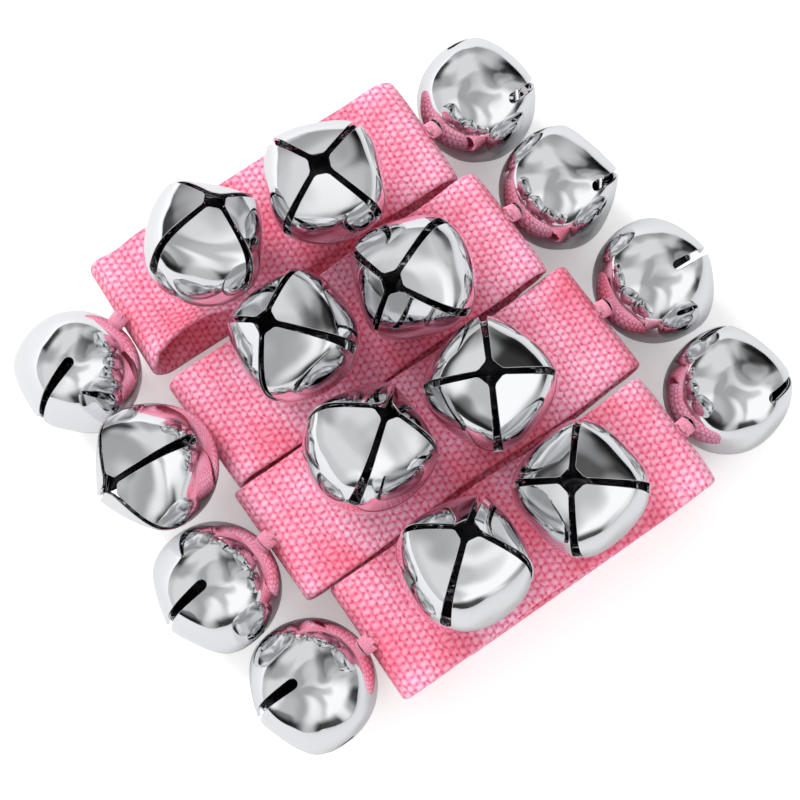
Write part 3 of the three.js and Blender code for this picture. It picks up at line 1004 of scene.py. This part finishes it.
class BELLSET_OT_webbing(Operator):
    """Weave the four bands and their flaps"""

    bl_idname = "bellset.webbing"
    bl_label = "Webbing"

    def execute(self, context):
        for number in BANDS:
            line, steps = smooth_line(band_line(number), 0.45 * MM, 0.8 * MM)
            root = flap_right()
            # The flap's piece starts a little before its hinge
            flap_start = max(i for i, place in enumerate(line) if place.x > root + 6 * MM) + 1
            matrix = band_matrix(number)
            band = webbing_mesh(f"band_{number}", line, steps, number, 0, flap_start)
            band.transform(matrix)
            obj = make_piece(
                f"band_{number}_webbing", band, f"bracelet_{number}",
                [f"bracelet_{number}_strap"], [webbing_material()])
            flap = webbing_mesh(
                f"flap_{number}", line, steps, number, flap_start, len(line) - 1)
            flap.transform(matrix)
            obj = make_piece(
                f"flap_{number}_webbing", flap, None,
                [f"bracelet_{number}_flap"], [webbing_material()])
            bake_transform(obj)
        return {"FINISHED"}


class BELLSET_OT_closures(Operator):
    """Sew on the loop tapes and the hook tapes"""

    bl_idname = "bellset.closures"
    bl_label = "Closures"

    def execute(self, context):
        web = context.scene.bell_webbing
        level = heights()
        middle = flap_right() - web.closure / 2
        top = level["hooks"] - HOOK_TAPE[2] / 2 + HOOK_BASE
        columns, lines = 25, 23
        loops = dyed_nylon("brushed nylon loop pile", "D9557F", "FFA9C4", 0.5 * MM, 0.95)
        hooks = dyed_nylon("moulded nylon hooks", "D2587D", "F79AB5", 0.8 * MM, 0.5)
        tree = hook_tree()
        for number in BANDS:
            matrix = band_matrix(number)
            pile = slab_mesh(
                f"loop_tape_{number}", *LOOP_TAPE[:2], LOOP_TAPE[2] - 0.05 * MM,
                Vector((middle, 0, level["loops"])))
            pile.transform(matrix)
            make_piece(
                f"loop_tape_{number}", pile, f"bracelet_{number}", [], [loops])
            base = slab_mesh(
                f"hook_tape_{number}", *HOOK_TAPE[:2], HOOK_BASE,
                Vector((middle, 0, top - HOOK_BASE / 2)))
            base.transform(matrix)
            make_piece(
                f"hook_tape_{number}", base, f"flap_{number}",
                [f"bracelet_{number}_hook_tape"], [hooks])
            grid = bpy.data.meshes.new("hook places")
            grid.from_pydata([
                (middle + (i - columns // 2) * 0.8 * MM, (j - lines // 2) * 0.85 * MM, top)
                for i in range(columns) for j in range(lines)], [], [])
            rows = grown_mesh(grid, tree, {"Material": hooks})
            rows.transform(matrix)
            make_piece(
                f"hook_rows_{number}", rows, f"flap_{number}", [], [hooks])
        return {"FINISHED"}


class BELLSET_OT_shells(Operator):
    """Press the bell shells"""

    bl_idname = "bellset.shells"
    bl_label = "Bell shells"

    def execute(self, context):
        flat, full = shell_mesh(1.0), shell_mesh(0.45)
        for name in bell_names():
            turn = Matrix.Rotation(math.radians(TWISTS[name]), 4, "Z")
            make_piece(
                f"bell_{name}_petals",
                moved_copy(full if name in FULL else flat, bell_matrix(name) @ turn),
                f"bell_{name}", [f"bracelet_{name[0]}_bell_{name[1]}_shell"],
                [chrome_material(), shaded_inside_material()])
        return {"FINISHED"}


class BELLSET_OT_shanks(Operator):
    """Bend the wire shanks"""

    bl_idname = "bellset.shanks"
    bl_label = "Shanks"

    def execute(self, context):
        wire = plain_metal("nickel-plated drawn wire", "A9A9AC", "C9C9CC", 0.22, 0.4 * MM)
        bent = grown_mesh(polyline(shank_line()), tube_tree(), {
            "Radius": context.scene.bell_shells.wire / 2, "Sides": 16, "Material": wire})
        smooth(bent)
        for name in bell_names():
            make_piece(
                f"bell_{name}_wire", moved_copy(bent, bell_matrix(name)), f"bell_{name}",
                [f"bracelet_{name[0]}_bell_{name[1]}_shank"], [wire])
        return {"FINISHED"}


class BELLSET_OT_pellets(Operator):
    """Drop the pellets into the shells"""

    bl_idname = "bellset.pellets"
    bl_label = "Pellets"

    def execute(self, context):
        steel = plain_metal("tumbled steel shot", "3A3A3C", "66666A", 0.42, 0.7 * MM)
        ball = pellet_mesh()
        for name in bell_names():
            node = f"bracelet_{name[0]}_bell_{name[1]}_pellet"
            low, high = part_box(node)
            make_piece(
                f"bell_{name}_ball", moved_copy(ball, Matrix.Translation((low + high) / 2)),
                f"pellet_{name}", [node], [steel])
        return {"FINISHED"}


class BELLSET_OT_sewing(Operator):
    """Sew the tapes and the shanks with thread"""

    bl_idname = "bellset.sewing"
    bl_label = "Sewing"

    def execute(self, context):
        web = context.scene.bell_webbing
        thread = dyed_nylon("twisted polyester thread", "E8668F", "FFC0D6", 0.25 * MM, 0.6)
        seams, strands = stitch_tree(), tube_tree()
        level = heights()
        binding = grown_mesh(polyline(binding_line()), strands, {
            "Radius": 0.19 * MM, "Sides": 6, "Material": thread})
        smooth(binding)
        for name in bell_names():
            make_piece(
                f"bell_{name}_binding", moved_copy(binding, bell_matrix(name)), f"bell_{name}",
                [], [thread])

        for number in BANDS:
            matrix = band_matrix(number)
            for label, body, line in (
                    ("flap_seam", f"flap_{number}", seam_line(HOOK_TAPE, 0.02 * MM)),
                    ("lap_seam", f"bracelet_{number}",
                     seam_line(LOOP_TAPE, level["inner"] + web.thickness / 2))):
                sewn = grown_mesh(polyline(line), seams, {"Material": thread})
                sewn.transform(matrix)
                smooth(sewn)
                make_piece(f"{label}_{number}", sewn, body, [], [thread])
            lanes = [
                lane for letter in "abcd" for lane in sewn_lanes(bell_matrix(f"{number}{letter}"))]
            sewn = grown_mesh(polylines(lanes), strands, {
                "Radius": 0.17 * MM, "Sides": 6, "Material": thread})
            smooth(sewn)
            make_piece(
                f"shank_threads_{number}", sewn, f"bracelet_{number}", [], [thread])
        return {"FINISHED"}


class BELLSET_OT_stage(Operator):
    """Set the floor, the lamps, the world and the camera"""

    bl_idname = "bellset.stage"
    bl_label = "Stage"

    def execute(self, context):
        scene, stage = context.scene, context.scene.bell_stage
        side = 3.0
        floor = mesh_from(
            "floor", [(-side, -side, 0), (side, -side, 0), (side, side, 0), (-side, side, 0)],
            [[0, 1, 2, 3]])
        material, tree = new_material("white paper sweep")
        # White paper under soft light, lifted to the photograph's white where nothing shades it
        lit = add_node(tree, "ShaderNodeBsdfDiffuse", None, {"Color": (*stage.floor, 1)})
        glow = add_node(tree, "ShaderNodeEmission", None, {"Strength": 0.3})
        both = add_node(tree, "ShaderNodeAddShader", None, {0: lit.outputs[0], 1: glow.outputs[0]})
        grey = add_node(tree, "ShaderNodeBsdfDiffuse", None, {"Color": (*stage.mirrored, 1)})
        rays = add_node(tree, "ShaderNodeLightPath")
        seen = add_node(tree, "ShaderNodeMixShader", None, {
            0: rays.outputs["Is Camera Ray"], 1: lit.outputs[0], 2: both.outputs[0]})
        pick = add_node(tree, "ShaderNodeMixShader", None, {
            0: rays.outputs["Is Glossy Ray"], 1: seen.outputs[0], 2: grey.outputs[0]})
        add_node(tree, "ShaderNodeOutputMaterial", None, {0: pick.outputs[0]})
        floor.materials.append(material)
        obj = bpy.data.objects.new("floor", floor)
        scene.collection.objects.link(obj)
        obj.location.z = -0.05 * MM
        self.light(scene)
        self.world(scene)
        self.camera(scene, stage)
        scene.view_settings.view_transform = "Standard"
        return {"FINISHED"}

    def light(self, scene):
        """Two soft lamps: the key from behind and a weaker fill from the left."""
        for name, place, size, power in (
                ("key", (-0.16, 0.62, 0.62), 0.42, 5.5),
                ("fill", (-0.75, -0.35, 0.55), 0.35, 2.2)):
            data = bpy.data.lights.new(name, "AREA")
            data.shape = "SQUARE"
            data.size = size
            data.energy = power
            lamp = bpy.data.objects.new(name, data)
            scene.collection.objects.link(lamp)
            lamp.location = place
            lamp.rotation_mode = "QUATERNION"
            lamp.rotation_quaternion = Vector(place).to_track_quat("Z", "Y")
            # The chrome shows the tent, and not the lamps behind its cloth
            lamp.visible_glossy = False

    def world(self, scene):
        """A light grey tent of brighter and darker sheets over a dark gap, which only the chrome
        shows. The camera sees white, and everything else is lit by an even white."""
        world = bpy.data.worlds.new("tent")
        world.use_nodes = True
        tree = world.node_tree
        tree.nodes.clear()
        way = add_node(tree, "ShaderNodeTexCoord")
        tone = None
        # Hanging folds of a dark curtain on the right
        hanging = add_node(tree, "ShaderNodeVectorMath", {"operation": "MULTIPLY"}, {
            0: way.outputs["Generated"], 1: (2.0, 2.0, 0.6)})
        curtain = add_node(tree, "ShaderNodeTexNoise", None, {
            "Vector": hanging.outputs[0], "Scale": 1.3, "Detail": 1.0, "Roughness": 0.4})
        pleats = add_node(tree, "ShaderNodeMapRange", {"interpolation_type": "SMOOTHSTEP"}, {
            "Value": curtain.outputs["Fac"], "From Min": 0.4, "From Max": 0.6,
            "To Min": 0.1, "To Max": 0.75})
        # Each sheet or gap of the tent: the way to its middle, the cosine of its half angle, how
        # softly it ends, and the tone that it multiplies in
        for place, inner, outer, shade in (
                ((0.86, 0.12, 0.36), 0.97, 0.7, pleats.outputs[0]),
                ((0.15, -0.82, 0.55), 0.9, 0.66, 1.42),
                ((-0.88, -0.16, 0.45), 0.98, 0.88, 1.35),
                ((-0.85, -0.35, 0.2), 0.985, 0.96, 0.35)):
            towards = add_node(tree, "ShaderNodeVectorMath", {"operation": "DOT_PRODUCT"}, {
                0: way.outputs["Generated"], 1: Vector(place).normalized()})
            sheet = add_node(tree, "ShaderNodeMapRange", {"interpolation_type": "SMOOTHSTEP"}, {
                "Value": towards.outputs["Value"], "From Min": outer, "From Max": inner,
                "To Min": 1.0, "To Max": shade})
            tone = sheet if tone is None else add_node(
                tree, "ShaderNodeMath", {"operation": "MULTIPLY"}, {
                    0: tone.outputs[0], 1: sheet.outputs[0]})
        # Folds in its cloth
        stretch = add_node(tree, "ShaderNodeVectorMath", {"operation": "MULTIPLY"}, {
            0: way.outputs["Generated"], 1: (1.5, 1.5, 0.7)})
        folds = add_node(tree, "ShaderNodeTexNoise", None, {
            "Vector": stretch.outputs[0], "Scale": 0.8, "Detail": 1.0, "Roughness": 0.4,
            "Distortion": 0.6})
        cloth = add_node(tree, "ShaderNodeMapRange", {"interpolation_type": "SMOOTHSTEP"}, {
            "Value": folds.outputs["Fac"], "From Min": 0.42, "From Max": 0.58,
            "To Min": 0.46, "To Max": 0.86})
        tone = add_node(tree, "ShaderNodeMath", {"operation": "MULTIPLY"}, {
            0: tone.outputs[0], 1: cloth.outputs[0]})
        # The dark room shows through under the tent's edge
        level = add_node(tree, "ShaderNodeSeparateXYZ", None, {0: way.outputs["Generated"]})
        around = add_node(tree, "ShaderNodeVectorMath", {"operation": "MULTIPLY"}, {
            0: way.outputs["Generated"], 1: (1.0, 1.0, 0.0)})
        hems = add_node(tree, "ShaderNodeTexNoise", None, {
            "Vector": around.outputs[0], "Scale": 1.1, "Detail": 1.0})
        gap = add_node(tree, "ShaderNodeMapRange", {"interpolation_type": "SMOOTHSTEP"}, {
            "Value": hems.outputs["Fac"], "From Min": 0.46, "From Max": 0.54,
            "To Min": 0.08, "To Max": 0.85})
        under = add_node(tree, "ShaderNodeMapRange", {"interpolation_type": "SMOOTHSTEP"}, {
            "Value": level.outputs["Z"], "From Min": 0.12, "From Max": 0.34,
            "To Min": gap.outputs[0], "To Max": 1.0})
        tent = add_node(tree, "ShaderNodeMath", {"operation": "MULTIPLY"}, {
            0: tone.outputs[0], 1: under.outputs[0]})
        rays = add_node(tree, "ShaderNodeLightPath")
        mirror, plain, white = (
            add_node(tree, "ShaderNodeBackground", None, {
                "Color": (1, 1, 1, 1), "Strength": strength})
            for strength in (tent.outputs[0], 0.85, 1.0))
        first = add_node(tree, "ShaderNodeMixShader", None, {
            0: rays.outputs["Is Glossy Ray"], 1: plain.outputs[0], 2: mirror.outputs[0]})
        second = add_node(tree, "ShaderNodeMixShader", None, {
            0: rays.outputs["Is Camera Ray"], 1: first.outputs[0], 2: white.outputs[0]})
        add_node(tree, "ShaderNodeOutputWorld", None, {0: second.outputs[0]})
        scene.world = world

    def camera(self, scene, stage):
        """The photograph's camera, fitted to the picture of the real set."""
        turn, lift = stage.azimuth, stage.elevation
        back = Vector((
            math.sin(turn) * math.cos(lift), -math.cos(turn) * math.cos(lift), math.sin(lift)))
        data = bpy.data.cameras.new("camera")
        data.lens = stage.lens
        data.sensor_width = 36
        camera = bpy.data.objects.new("camera", data)
        scene.collection.objects.link(camera)
        target = Vector((-2.37 * MM, -4.12 * MM, 8 * MM))
        camera.location = target + back * stage.distance
        camera.rotation_mode = "QUATERNION"
        camera.rotation_quaternion = back.to_track_quat("Z", "Y")
        scene.camera = camera


class BELLSET_PT_panel(Panel):
    """The set's pieces, in making order"""

    bl_label = "Bell Bracelets"
    bl_idname = "BELLSET_PT_panel"
    bl_space_type = "VIEW_3D"
    bl_region_type = "UI"
    bl_category = "Bell Bracelets"

    def draw(self, context):
        for group in (
                context.scene.bell_webbing, context.scene.bell_shells, context.scene.bell_stage):
            box = self.layout.box()
            for key in group.bl_rna.properties.keys():
                if key not in ("rna_type", "name"):
                    box.prop(group, key)
        for operator in OPERATORS:
            self.layout.operator(operator.bl_idname)


OPERATORS = (
    BELLSET_OT_webbing, BELLSET_OT_closures, BELLSET_OT_shells, BELLSET_OT_shanks,
    BELLSET_OT_pellets, BELLSET_OT_sewing, BELLSET_OT_stage)
CLASSES = (WebbingSettings, BellSettings, StageSettings, *OPERATORS, BELLSET_PT_panel)


def register():
    for item in CLASSES:
        bpy.utils.register_class(item)
    bpy.types.Scene.bell_webbing = PointerProperty(type=WebbingSettings)
    bpy.types.Scene.bell_shells = PointerProperty(type=BellSettings)
    bpy.types.Scene.bell_stage = PointerProperty(type=StageSettings)


def unregister():
    del bpy.types.Scene.bell_stage
    del bpy.types.Scene.bell_shells
    del bpy.types.Scene.bell_webbing
    for item in reversed(CLASSES):
        bpy.utils.unregister_class(item)


def main():
    register()
    bpy.ops.bellset.webbing()
    bpy.ops.bellset.closures()
    bpy.ops.bellset.shells()
    bpy.ops.bellset.shanks()
    bpy.ops.bellset.pellets()
    bpy.ops.bellset.sewing()
    bpy.ops.bellset.stage()


if __name__ == "__main__":
    main()
